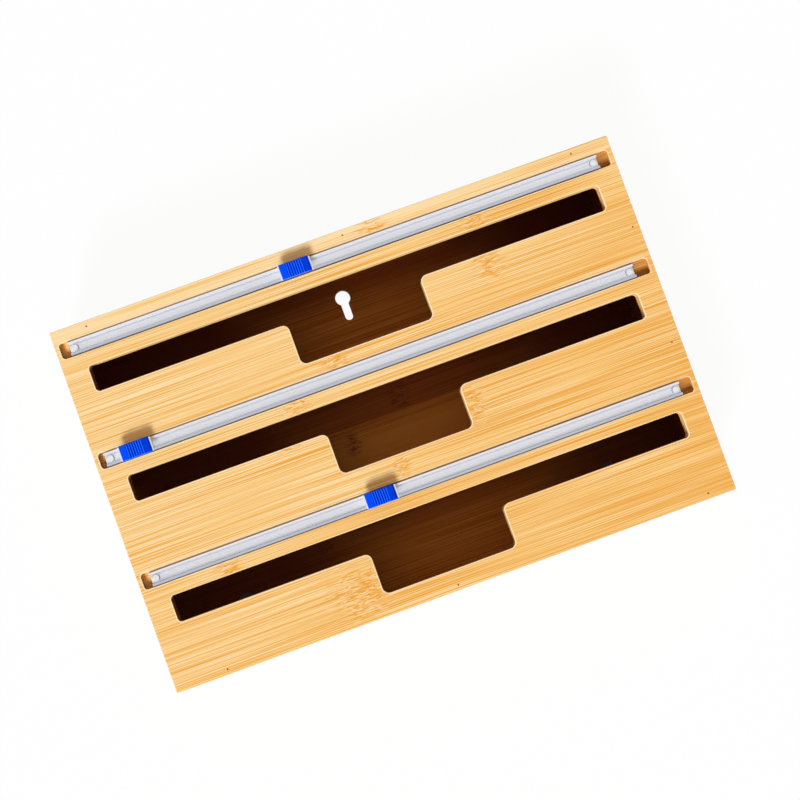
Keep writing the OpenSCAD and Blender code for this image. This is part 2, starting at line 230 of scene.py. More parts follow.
NATURAL = {
    "pale": (0.985, 0.745, 0.42),
    "honey": (0.955, 0.595, 0.205),
    "orange": (0.83, 0.355, 0.042),
    "knot": (0.87, 0.375, 0.038),
    "fleck": (0.50, 0.21, 0.06),
    "wear_and_highlight": (1.0, 0.87, 0.58),
}
# Wood inside the box: darker copies of the natural colours, painted shade for its dim inside
INSIDE_SHADED = {
    "pale": (0.66, 0.34, 0.075),
    "honey": (0.54, 0.225, 0.027),
    "orange": (0.41, 0.14, 0.012),
    "knot": (0.21, 0.072, 0.008),
    "fleck": (0.10, 0.033, 0.004),
    "wear_and_highlight": (0.56, 0.25, 0.04),
}
# The same painted shade, redder, for the upright inner walls and the inner side of the right end
INSIDE_WALL_SHADED = {
    "pale": (0.66, 0.27, 0.05),
    "honey": (0.55, 0.19, 0.024),
    "orange": (0.41, 0.12, 0.011),
    "knot": (0.41, 0.12, 0.011),
    "fleck": (0.30, 0.09, 0.011),
    "wear_and_highlight": (0.60, 0.24, 0.04),
}
CUT = {
    "pale": (1.0, 0.66, 0.26),
    "honey": (0.98, 0.56, 0.17),
    "orange": (0.92, 0.43, 0.09),
    "knot": (0.92, 0.43, 0.09),
    "fleck": (0.60, 0.26, 0.05),
    "wear_and_highlight": (1.0, 0.74, 0.38),
}
# Routed wood of the grooves: darker than the sawn cuts, partly its own colour and partly painted shade
GROOVE = {
    "pale": (0.97, 0.55, 0.18),
    "honey": (0.68, 0.34, 0.09),
    "orange": (0.50, 0.21, 0.04),
    "knot": (0.50, 0.21, 0.04),
    "fleck": (0.30, 0.11, 0.02),
    "wear_and_highlight": (0.90, 0.55, 0.22),
}
# Painted shade: the colour of wood that no light reaches, also painted on the floor under the front back
# board
SHADE_COLOR = (0.13, 0.012, 0.001)

# Strips, and how far the pattern of one is shifted from the next
STRIP_W = 22.0
STRIP_SHIFT = 7.3

# Streaks in the wood: length and width in millimetres, and how much they lighten or darken it
STREAKS = {
    "fibre": (120, 0.40),
    "vein": (210, 0.85),
    "stripe": (380, 2.6),
    "cloud": (300, 10.0),
    "line": (160, 0.62),
    "patch": (7, 1.4),
    "wisp": (7, 0.6),
    "dash": (2.4, 0.55),
}
STREAK_DETAIL = 1.0
GRAIN_MIDDLE = 0.62
GRAIN_WEIGHTS = {"fibre": 2.9, "vein": 0.45, "stripe": 0.4, "cloud": 0.32}
TONE_WEIGHT = 0.05
LINE_SPAN = (0.55, 0.68)
LINE_WEIGHT = 0.5
ORANGE_AT, HONEY_AT, PALE_AT = 0.04, 0.5, 0.96

# Marks within a stem node: range of their streaks, and how strongly they show at its two ends
PATCH_SPAN = (0.42, 0.58, 0.0, 0.65)
WISP_SPAN = (0.48, 0.58)
DASH_SPAN = (0.54, 0.62, 0.0, 0.7)
FLECK_SPAN = (0.65, 0.72, 0.0, 0.8)
CORE_SPAN = (0.4, 0.95)

# Stem nodes that are not placed: spacing, and the half width of a band and of its core in shares of it
NODE_SPACING = 240.0
BAND_SPAN = (0.055, 0.01)
BAND_WANDER = 0.04
BAND_WANDER_W = 4.0

# Stem nodes in the face: place along and across the fibres, then half length and half width
FACE_KNOTS = (
    (24, 109, 10, 6), (83, 91, 9, 9), (84, 64, 11, 10), (-23, 41, 9, 8), (-53, 22, 10, 8),
    (-66, 1, 8, 4), (46, -12, 9, 14), (-6, -31, 6, 9), (-123, -54, 10, 7), (-56, -95, 19, 18),
)
# Stem nodes in the back boards, as seen through the slots
BACK_KNOTS = ((9, 11, 7, 12), (-29, -9, 6, 9), (-119, 85, 8, 9), (-67, -64, 8, 5))
# Their ragged outline: size of its cells, its share of the distance, and the distances it fades between
RAGGED_SIZE = (14, 1.6)
RAGGED_WEIGHT = 1.8
KNOT_SPAN = (2.15, 1.3)

# Sway of the fibres along a board, and their curl in a stem node: size of the cells, and width
SWAY_SIZE = (130, 25)
SWAY_W = 1.6
CURL_SIZE = (7, 4)
CURL_W = 2.4

# Nails in the face, and the stain round each
FACE_NAILS = (
    (-155.3, 110.1), (6.8, 110.1), (153.5, 110.1), (-144.7, -110.1), (1.0, -110.1), (160.7, -110.1),
    (173.5, 56.0), (171.6, -17.4),
)
STAIN_SPAN = (0.8, 0.4, 0.0, 0.5)

# Paler and darker stretches of the boards: from a place to a place, and how much at each
FACE_RIGHT = (-40, 178, -0.03, -0.26)
FACE_FRONT = (-113, 80, -0.10, 0.05)
FACE_REAR_EDGE = (103, 108, 0.0, 0.34)
# Painted light towards the left ends of the grooves, and painted shade towards their right ends
GROOVE_PAINTED_LIGHT = (-150, 150, 0.75, -0.45)

# Inner side of the rear wall and the spacing of the roll bays in front of it
BAYS_REAR = 105.5
BAY_SPACING = 72.33
# Painted shade in a bay behind its slot, at shares of that spacing
BEHIND_SLOT = (0.12, 0.62, 0.85, 0.0)
# Painted light under the finger notches, where the painted shade of the bays is least: its middle, and
# where it starts to fade and is gone
NOTCH_LIGHT = 15
NOTCH_FADE = (20, 110)
# Painted shade: how dark the bays get at their ends, from the front to the rear, and how dark their walls
# get
BAY_SHADE = (-105, 40, 0.82, 0.95)
WALL_SHADE = 0.75
END_SHADE = 0.75
# Seam between the back boards: the rear one has painted shade in the middle bay, and the front one is paler
# there
BACK_SEAM = 2.0
SEAM_BLUR = 0.3
REAR_BOARD = (BACK_SEAM - SEAM_BLUR, BACK_SEAM + SEAM_BLUR, 0.0, 0.64)
FRONT_BOARD = (BACK_SEAM, -18, -0.05, 0.8)
MIDDLE_BAY_REAR = (38, 36)
MIDDLE_BAY_FRONT = (-38, -36)
# Middle of the cutter rails along their grooves, and the shade under them, which ends with them
RAIL_MIDDLE = -1.7
RAIL_SHADE_ENDS = (168.5, 167.0)
RAIL_SHADE = 0.55

# Wear and painted highlight along the edges, from dark veins to pale ones
EDGE_WEAR_AND_HIGHLIGHT = (0.65, 0.95)
# Painted shade on faces turned away from the sun: the side they look to, how squarely a face looks that way
# where it is darkest, and how dark
SHADED_SIDE = (0.6, 0.8, 0.0)
SIDE_SHADE_FULL = 0.5
SIDE_SHADE_AMOUNT = 0.9

# Roughness of sanded and of sawn wood, how far a surface varies from its roughness, and the wood's relief
SANDED = 0.5
SAWN = 0.6
SMOOTHER = 0.06
ROUGHER = 0.08
WOOD_SPECULAR = 0.2
WISP_HEIGHT = 0.4
WOOD_RELIEF = 0.1
WOOD_BUMP = 0.5


def cells(tree, along, across, size, third):
    """Noise drawn out along the fibres. size is the length and width of its cells."""
    length, width = size
    first = calc(tree, "DIVIDE", along, length * MM)
    return noise(tree, combine(tree, first, calc(tree, "DIVIDE", across, width * MM), third))


def strip_tones(tree, across, seed):
    """A random value for each strip."""
    strip = calc(tree, "FLOOR", calc(tree, "DIVIDE", calc(tree, "ADD", across, seed * MM), STRIP_W * MM))
    random = tree.nodes.new("ShaderNodeTexWhiteNoise")
    random.noise_dimensions = "1D"
    put(random.inputs["W"], calc(tree, "ADD", strip, seed))
    return random.outputs["Value"]


def stem_nodes(tree, along, across, shift):
    """Share of stem node at a point: one band across each strip, a node's spacing apart."""
    wander = noise(tree, combine(tree, calc(tree, "DIVIDE", across, BAND_WANDER_W * MM), shift, 0.0))
    step = calc(tree, "DIVIDE", along, NODE_SPACING * MM)
    step = calc(tree, "MULTIPLY_ADD", wander, BAND_WANDER, step)
    step = calc(tree, "FRACT", calc(tree, "ADD", step, shift))
    return remap(tree, calc(tree, "ABSOLUTE", calc(tree, "SUBTRACT", step, 0.5)), *BAND_SPAN)


def placed_nodes(tree, along, across, knots):
    """Share of stem node at a point, from a list of places."""
    ragged = cells(tree, along, across, RAGGED_SIZE, 0.0)
    place = combine(tree, along, across, 0.0)
    share = 0.0
    for x, y, half_l, half_w in knots:
        size = (half_l * MM, half_w * MM, 1.0)
        centre = (x / half_l, y / half_w, 0.0)
        apart = vector_calc(tree, "DISTANCE", vector_calc(tree, "DIVIDE", place, size), centre)
        apart = calc(tree, "MULTIPLY_ADD", ragged, RAGGED_WEIGHT, apart)
        share = calc(tree, "MAXIMUM", remap(tree, apart, *KNOT_SPAN), share)
    return share


def stained(tree, along, across, nails):
    """Share of stain at a point, from a list of nails."""
    place = combine(tree, along, across, 0.0)
    share = 0.0
    for x, y in nails:
        apart = vector_calc(tree, "DISTANCE", place, (x * MM, y * MM, 0.0))
        share = calc(tree, "MAXIMUM", grade(tree, apart, STAIN_SPAN), share)
    return share


def sway(tree, along, across, band, seed):
    """Place across the fibres, which sway a little along the board and curl within a stem node."""
    slow = cells(tree, along, across, SWAY_SIZE, seed)
    curl = calc(tree, "SUBTRACT", cells(tree, along, across, CURL_SIZE, seed), 0.5)
    curl = calc(tree, "MULTIPLY", curl, calc(tree, "MULTIPLY", band, CURL_W * MM))
    return calc(tree, "ADD", calc(tree, "MULTIPLY_ADD", slow, SWAY_W * MM, across), curl)


def face_lean(tree, along, across):
    """The face board grows darker towards its right end and is palest along its rear edge."""
    right = grade(tree, along, FACE_RIGHT, "LINEAR")
    front = grade(tree, across, FACE_FRONT, "LINEAR")
    return calc(tree, "ADD", calc(tree, "ADD", right, front), grade(tree, across, FACE_REAR_EDGE))


# Painted light towards the left ends of the grooves and painted shade towards their right ends
def groove_painted_light(tree, along, _across):
    return grade(tree, along, GROOVE_PAINTED_LIGHT)


def bay_lean(tree, _along, across):
    """The front back board is paler in the middle bay."""
    return calc(tree, "MULTIPLY", grade(tree, across, FRONT_BOARD), grade(tree, across, MIDDLE_BAY_FRONT))


def from_middle(tree, along, middle, fade, depth):
    """How dark painted shade makes the wood by its distance from a middle: not at all at the first, depth
    at the second.
    """
    away = calc(tree, "ABSOLUTE", calc(tree, "SUBTRACT", along, middle * MM))
    return grade(tree, away, (*fade, 0.0, depth))


def bay_shade(tree, along, across):
    """Painted light and shade in the bays: lightest under the finger notches, and dark at their ends and
    behind the slots.
    """
    most = grade(tree, across, BAY_SHADE, "LINEAR")
    ends = from_middle(tree, along, NOTCH_LIGHT, NOTCH_FADE, most)
    step = calc(tree, "DIVIDE", calc(tree, "SUBTRACT", BAYS_REAR * MM, across), BAY_SPACING * MM)
    rear = remap(tree, calc(tree, "FRACT", step), *BEHIND_SLOT)
    board = calc(tree, "MULTIPLY", grade(tree, across, REAR_BOARD), grade(tree, across, MIDDLE_BAY_REAR))
    return calc(tree, "MAXIMUM", calc(tree, "MAXIMUM", ends, rear), board)


# Painted shade on the inner walls, on the inner side of the right end, and in the grooves under the rails
def wall_shade(tree, along, _across):
    return from_middle(tree, along, NOTCH_LIGHT, NOTCH_FADE, WALL_SHADE)


def end_shade(_tree, _along, _across):
    return END_SHADE


def groove_shade(tree, along, _across):
    return from_middle(tree, along, RAIL_MIDDLE, RAIL_SHADE_ENDS, RAIL_SHADE)


def with_stem_nodes(tree, color, colors, band, grain):
    """Adds pale patches and golden wisps to the stem nodes, and dashes and flecks to their cores."""
    core = remap(tree, band, *CORE_SPAN)
    marks = (
        (band, grain["patch"], PATCH_SPAN, colors["pale"]),
        (band, grain["wisp"], WISP_SPAN, colors["knot"]),
        (core, grain["dash"], DASH_SPAN, colors["knot"]),
        (core, grain["dash"], FLECK_SPAN, colors["fleck"]),
    )
    for where, streak, span, mark in marks:
        share = calc(tree, "MULTIPLY", where, remap(tree, streak, *span))
        color = mix(tree, share, color, mark)
    return color


def with_painted_side_shade(tree, color, side_shade):
    """Paints shade on the faces that look to the right and the rear, away from the sun."""
    normal = tree.nodes.new("ShaderNodeNewGeometry").outputs["Normal"]
    turned = vector_calc(tree, "DOT_PRODUCT", normal, SHADED_SIDE)
    return mix(tree, remap(tree, turned, 0.0, SIDE_SHADE_FULL, 0.0, side_shade), color, SHADE_COLOR)


def bamboo(name, axes, seed, colors, knots=None, nails=None, lean=None, painted_shade=None, side_shade=0.0,
           roughness=SANDED):
    """axes names the directions along the fibres, across the strips and through the board.

    seed sets the pattern of the strips and fibres.
    lean tells how pale the wood is at a place along and across the fibres, and the next function how dark
    painted shade makes it there.
    The side shade is how dark painted shade makes the faces that look to the right and the rear, away from
    the sun.
    """
    material, tree, shader = new_material(name)
    place = coordinates(tree)
    along, across, through = (place[axis] for axis in axes)
    tone = strip_tones(tree, across, seed)
    shift = calc(tree, "MULTIPLY", tone, STRIP_SHIFT)
    if knots:
        band = placed_nodes(tree, along, across, knots)
    else:
        band = stem_nodes(tree, along, across, shift)
    swayed = sway(tree, along, across, band, seed)

    def streaks(length, width):
        return noise(tree, combine(
            tree,
            calc(tree, "ADD", calc(tree, "DIVIDE", along, length * MM), shift),
            calc(tree, "DIVIDE", swayed, width * MM),
            calc(tree, "DIVIDE", through, width * MM)), STREAK_DETAIL)

    grain = {streak: streaks(*size) for streak, size in STREAKS.items()}
    terms = [(grain[streak], weight) for streak, weight in GRAIN_WEIGHTS.items()]
    shade = weigh(tree, GRAIN_MIDDLE, *terms, (tone, TONE_WEIGHT))
    line = remap(tree, grain["line"], *LINE_SPAN)
    shade = calc(tree, "MULTIPLY_ADD", line, -LINE_WEIGHT, shade)
    if lean:
        shade = calc(tree, "ADD", shade, lean(tree, along, across))
    color = ramp(tree, shade, (
        (ORANGE_AT, colors["orange"]), (HONEY_AT, colors["honey"]), (PALE_AT, colors["pale"])))

    color = with_stem_nodes(tree, color, colors, band, grain)
    # Pale edges: wear, and a painted highlight along the eased edges
    edge_wear_and_highlight = calc(tree, "MULTIPLY", attribute(tree, "edge"), by_noise(tree, grain["vein"], *EDGE_WEAR_AND_HIGHLIGHT))
    color = mix(tree, edge_wear_and_highlight, color, colors["wear_and_highlight"])
    if nails:
        color = mix(tree, stained(tree, along, across, nails), color, colors["fleck"])
    # Painted shade where little light reaches
    if painted_shade:
        color = mix(tree, painted_shade(tree, along, across), color, SHADE_COLOR)
    # Painted shade on the faces turned away from the sun
    if side_shade:
        color = with_painted_side_shade(tree, color, side_shade)

    put(shader.inputs["Base Color"], color)
    rough = by_noise(tree, grain["fibre"], roughness + ROUGHER, roughness - SMOOTHER)
    put(shader.inputs["Roughness"], rough)
    put(shader.inputs["Specular IOR Level"], WOOD_SPECULAR)
    raised = calc(tree, "MULTIPLY", band, WISP_HEIGHT)
    height = calc(tree, "MULTIPLY_ADD", grain["wisp"], raised, grain["fibre"])
    put(shader.inputs["Normal"], bump(tree, height, WOOD_RELIEF, WOOD_BUMP))
    return material


# Plastics and metals

# Detail and roughness of the noise for a moulded grain, extruded lines and scratches
GRAIN_NOISE = (3.0, 0.6)
SCRATCH_NOISE = (4.0, 0.6)
# Size of the grain or scratches, in millimetres
FINE_GRAIN = (0.8, 0.8, 0.8)
FOAM_GRAIN = (0.4, 0.4, 0.4)
NAIL_GRAIN = (0.3, 0.3, 0.3)
PIN_GRAIN = (0.4, 0.4, 0.4)
BLADE_SCRATCH = (4.0, 0.3, 0.3)
NICKEL_GRAIN = (0.5, 0.5, 0.5)
GRAIN_RELIEF = 0.03
GRAIN_BUMP = 0.4
# What is left of a colour in the hollows of the grain
PLASTIC_HOLLOW = 0.88
METAL_HOLLOW = 0.7
METAL_SMOOTHER = 0.08
METAL_ROUGHER = 0.1


def grained(tree, size, settings=GRAIN_NOISE):
    place = tree.nodes.new("ShaderNodeTexCoord").outputs["Object"]
    return noise(tree, vector_calc(tree, "DIVIDE", place, [length * MM for length in size]), *settings)


def plastic(name, color, roughness, grain_size, specular=0.5, clearness=0.0):
    """Moulded plastic with a faint surface grain."""
    material, tree, shader = new_material(name)
    grain = grained(tree, grain_size)
    darker = tuple(channel * PLASTIC_HOLLOW for channel in color)
    put(shader.inputs["Base Color"], mix(tree, grain, darker, color))
    put(shader.inputs["Roughness"], by_noise(tree, grain, roughness - SMOOTHER, roughness + ROUGHER))
    put(shader.inputs["Specular IOR Level"], specular)
    put(shader.inputs["Normal"], bump(tree, grain, GRAIN_RELIEF, GRAIN_BUMP))
    if clearness:
        let_light_through(tree, clearness)
    return material


# Colours across a rail, from its front side to its rear side: its bluish tint and the white tape under it,
# with painted shade on its front lip, in the gaps at both sides and in a crease under the rear lip, and a
# painted highlight on the rear rim
RAIL_TINT_LIGHT_AND_SHADE = (
    (0.000, (0.09, 0.035, 0.012)), (0.022, (0.28, 0.28, 0.32)), (0.060, (0.46, 0.52, 0.67)),
    (0.110, (0.49, 0.51, 0.58)), (0.185, (0.60, 0.60, 0.64)), (0.310, (0.65, 0.64, 0.66)),
    (0.370, (0.77, 0.755, 0.755)), (0.520, (0.77, 0.74, 0.735)), (0.680, (0.69, 0.645, 0.655)),
    (0.745, (0.50, 0.46, 0.48)), (0.795, (0.52, 0.48, 0.50)), (0.850, (0.77, 0.77, 0.81)),
    (0.930, (0.86, 0.91, 1.00)), (0.965, (0.40, 0.22, 0.10)), (0.990, (0.26, 0.10, 0.02)),
)
# Lines that the extruder leaves along a rail
RAIL_LINE_SIZE = (300, 0.5, 0.5)
RAIL_LINE_COLOR = (0.36, 0.37, 0.42)
RAIL_LINE_SPAN = (0.35, 0.65, 0.12, 0.0)
RAIL_LINE_RELIEF = 0.04
RAIL_LINE_BUMP = 0.5
RAIL_ROUGHNESS = (0.16, 0.28)
RAIL_CLEARNESS = 0.9
# Stops near the ends of a rail: distance from the end, radius, and how the top fades in from there
STOP_INSET = 3.2
STOP_R = 2.1
STOP_TOP_COLOR = (0.86, 0.85, 0.85)
STOP_TOP_BLUR = 0.5
STOP_TOP_SPAN = (STOP_R, STOP_R - STOP_TOP_BLUR, 0.0, 0.45)
# Their dark edge: distances from the radius, and where along the rail it comes up
STOP_EDGE_COLOR = (0.28, 0.30, 0.36)
STOP_EDGE_SPAN = (0.4, 0.15)
STOP_EDGE_ALONG = (0.9, 1.7, 0.0, 0.75)


def with_stops(tree, color):
    """Adds pale stops, each with a dark edge towards the middle of the rail."""
    low, high = reach("cutter_rail_rear")
    place = coordinates(tree, "Generated")
    from_end = calc(tree, "SUBTRACT", 0.5, calc(tree, "ABSOLUTE", calc(tree, "SUBTRACT", place["X"], 0.5)))
    along = calc(tree, "MULTIPLY_ADD", from_end, high.x - low.x, -STOP_INSET)
    across = calc(tree, "MULTIPLY", calc(tree, "SUBTRACT", place["Y"], 0.5), high.y - low.y)
    away = vector_calc(tree, "DISTANCE", combine(tree, along, across, 0.0), (0.0, 0.0, 0.0))
    color = mix(tree, remap(tree, away, *STOP_TOP_SPAN), color, STOP_TOP_COLOR)
    off_edge = calc(tree, "ABSOLUTE", calc(tree, "SUBTRACT", away, STOP_R))
    edge = remap(tree, off_edge, *STOP_EDGE_SPAN)
    edge = calc(tree, "MULTIPLY", edge, remap(tree, along, *STOP_EDGE_ALONG))
    return mix(tree, edge, color, STOP_EDGE_COLOR)


def rail_plastic():
    """Extruded clear plastic: white tape shows through its floor, light goes through its sides, and light
    and shade are painted across it.
    """
    material, tree, shader = new_material("rail_plastic")
    lines = grained(tree, RAIL_LINE_SIZE)
    color = ramp(tree, coordinates(tree, "Generated")["Y"], RAIL_TINT_LIGHT_AND_SHADE)
    color = mix(tree, remap(tree, lines, *RAIL_LINE_SPAN), color, RAIL_LINE_COLOR)
    put(shader.inputs["Base Color"], with_stops(tree, color))
    put(shader.inputs["Roughness"], by_noise(tree, lines, *RAIL_ROUGHNESS))
    put(shader.inputs["Normal"], bump(tree, lines, RAIL_LINE_RELIEF, RAIL_LINE_BUMP))
    let_light_through(tree, RAIL_CLEARNESS)
    return material


# Colours of a slider cap, from painted shade between its ribs to a painted highlight on top of them
BLUE_SHADE_AND_HIGHLIGHT = ((0.0, (0.0, 0.018, 0.66)), (0.5, (0.0005, 0.064, 0.87)), (1.0, (0.012, 0.18, 1.0)))
CAP_GRAIN = 0.2
CAP_ROUGHNESS = (0.28, 0.40)
CAP_SPECULAR = 0.4
CAP_SHINE = (0.03, 0.35, 1.0)
CAP_CLEARNESS = 0.36


def cap_plastic():
    """Blue plastic, with painted highlights along the ribs and the front edge, and painted shade between
    the ribs, on the right slope and at the right end.
    """
    material, tree, shader = new_material("blue_plastic")
    grain = grained(tree, FINE_GRAIN)
    rib = calc(tree, "SUBTRACT", attribute(tree, "rib"), CAP_GRAIN / 2)
    level = calc(tree, "MULTIPLY_ADD", grain, CAP_GRAIN, rib)
    put(shader.inputs["Base Color"], ramp(tree, level, BLUE_SHADE_AND_HIGHLIGHT))
    put(shader.inputs["Roughness"], by_noise(tree, grain, *CAP_ROUGHNESS))
    put(shader.inputs["Specular IOR Level"], CAP_SPECULAR)
    put(shader.inputs["Specular Tint"], CAP_SHINE)
    put(shader.inputs["Normal"], bump(tree, grain, GRAIN_RELIEF, GRAIN_BUMP))
    let_light_through(tree, CAP_CLEARNESS)
    return material


def metal(name, color, roughness, scratch_size):
    material, tree, shader = new_material(name)
    scratch = grained(tree, scratch_size, SCRATCH_NOISE)
    darker = tuple(channel * METAL_HOLLOW for channel in color)
    put(shader.inputs["Base Color"], mix(tree, scratch, darker, color))
    put(shader.inputs["Metallic"], 1.0)
    rough = by_noise(tree, scratch, roughness - METAL_SMOOTHER, roughness + METAL_ROUGHER)
    put(shader.inputs["Roughness"], rough)
    return material


ALONG_X_FLAT = ("X", "Y", "Z")
ALONG_X_UPRIGHT = ("X", "Z", "Y")
ALONG_Y_UPRIGHT = ("Y", "Z", "X")
FACE_WOOD = bamboo("bamboo_face", ALONG_X_FLAT, 3.1, NATURAL, FACE_KNOTS, FACE_NAILS, face_lean)
BACK_WOOD = bamboo("bamboo_back", ALONG_X_FLAT, 17.4, NATURAL)
WALL_WOOD = bamboo("bamboo_wall", ALONG_X_UPRIGHT, 11.2, NATURAL)
END_WOOD = bamboo("bamboo_end", ALONG_Y_UPRIGHT, 7.4, NATURAL)
CUT_WOOD = bamboo("bamboo_cut", ALONG_X_FLAT, 13.6, CUT, side_shade=SIDE_SHADE_AMOUNT, roughness=SAWN)
GROOVE_WOOD = bamboo("bamboo_groove", ALONG_X_FLAT, 5.3, GROOVE, lean=groove_painted_light, painted_shade=groove_shade,
                     side_shade=SIDE_SHADE_AMOUNT, roughness=SAWN)
INSIDE_FLAT = bamboo("bamboo_inside_flat_shaded", ALONG_X_FLAT, 23.4, INSIDE_SHADED, BACK_KNOTS, lean=bay_lean,
                     painted_shade=bay_shade, roughness=SAWN)
INSIDE_UPRIGHT = bamboo("bamboo_inside_upright_shaded", ALONG_X_UPRIGHT, 31.7, INSIDE_WALL_SHADED, painted_shade=wall_shade,
                        roughness=SAWN)
INSIDE_END = bamboo("bamboo_inside_end_shaded", ALONG_Y_UPRIGHT, 43.9, INSIDE_WALL_SHADED, painted_shade=end_shade, roughness=SAWN)
CLEAR_PLASTIC = rail_plastic()
BLUE_PLASTIC = cap_plastic()
SHOE_PLASTIC = plastic("shoe_plastic", (0.84, 0.84, 0.87), roughness=0.4, grain_size=FINE_GRAIN,
                       clearness=0.92)
TAPE_FOAM = plastic("tape_foam", (0.85, 0.85, 0.82), roughness=0.7, grain_size=FOAM_GRAIN, specular=0.2)
NAIL_STEEL = metal("nail_steel", (0.34, 0.14, 0.035), roughness=0.6, scratch_size=NAIL_GRAIN)
PIN_STEEL = metal("pin_steel", (0.62, 0.62, 0.63), roughness=0.3, scratch_size=PIN_GRAIN)
BLADE_STEEL = metal("blade_steel", (0.70, 0.71, 0.73), roughness=0.25, scratch_size=BLADE_SCRATCH)
NICKEL = metal("nickel", (0.76, 0.74, 0.70), roughness=0.22, scratch_size=NICKEL_GRAIN)


# Boards: outlines with eased edges, drawn in millimetres

EASE_STEPS = 4
# Steps round a corner of a cut, round a corner of a board, and round a hole
CUT_STEPS = 8
BOARD_STEPS = 4
HOLE_STEPS = 20
# Width of the wear and painted highlight beside an eased edge
WEAR_AND_HIGHLIGHT_W = 0.6
WORN_DEPTH = 0.1
CORNER_SPARE = 0.1
FACE_EASE = 0.25
BOARD_EASE = 0.4
HOLE_EASE = 0.1
NAIL_R = 0.51
NAIL_DEPTH = 1.0
# How strong the wear and painted highlight along the edges of the face are: round it, behind the slots, and
# at the right and front of the grooves
RIM_WEAR_AND_HIGHLIGHT = 0.1
SLOT_REAR_WEAR_AND_HIGHLIGHT = 0.4
GROOVE_RIGHT_WEAR_AND_HIGHLIGHT = 0.5
GROOVE_FRONT_WEAR_AND_HIGHLIGHT = 0.5
# How far from a straight edge a point still belongs to it
SLOT_EDGE_W = 0.5
GROOVE_EDGE_W = 0.3
# Places of the materials in a board's list
OUTSIDE, INNER, CUT_EDGE, GROOVED = 0, 1, 2, 3


def outline(corners, steps):
    """Counter-clockwise outline from right-angled corners (x, y, radius)."""
    points = []
    for i, (x, y, radius) in enumerate(corners):
        here = Vector((x, y))
        before = (Vector(corners[i - 1][:2]) - here).normalized()
        after = (Vector(corners[(i + 1) % len(corners)][:2]) - here).normalized()
        centre = here + (before + after) * radius
        for step in range(steps + 1):
            turn = math.pi / 2 * step / steps
            points.append(centre - after * radius * math.cos(turn) - before * radius * math.sin(turn))
    return points


def rectangle(low_x, low_y, high_x, high_y, radius, steps):
    corners = ((low_x, low_y), (high_x, low_y), (high_x, high_y), (low_x, high_y))
    return outline([(x, y, radius) for x, y in corners], steps)


def arc(x, y, radius, start, end, steps):
    turns = [start + (end - start) * step / steps for step in range(steps + 1)]
    return [Vector((x + radius * math.cos(turn), y + radius * math.sin(turn))) for turn in turns]


def circle(x, y, radius):
    return arc(x, y, radius, 0.0, math.tau, HOLE_STEPS)[:-1]


def offset(loop, distance):
    """Moves a counter-clockwise outline outwards."""
    moved = []
    for i, point in enumerate(loop):
        into = (point - loop[i - 1]).normalized()
        out = (loop[(i + 1) % len(loop)] - point).normalized()
        normal = Vector((into.y + out.y, -into.x - out.x))
        moved.append(point + normal * (2 * distance / normal.length_squared))
    return moved


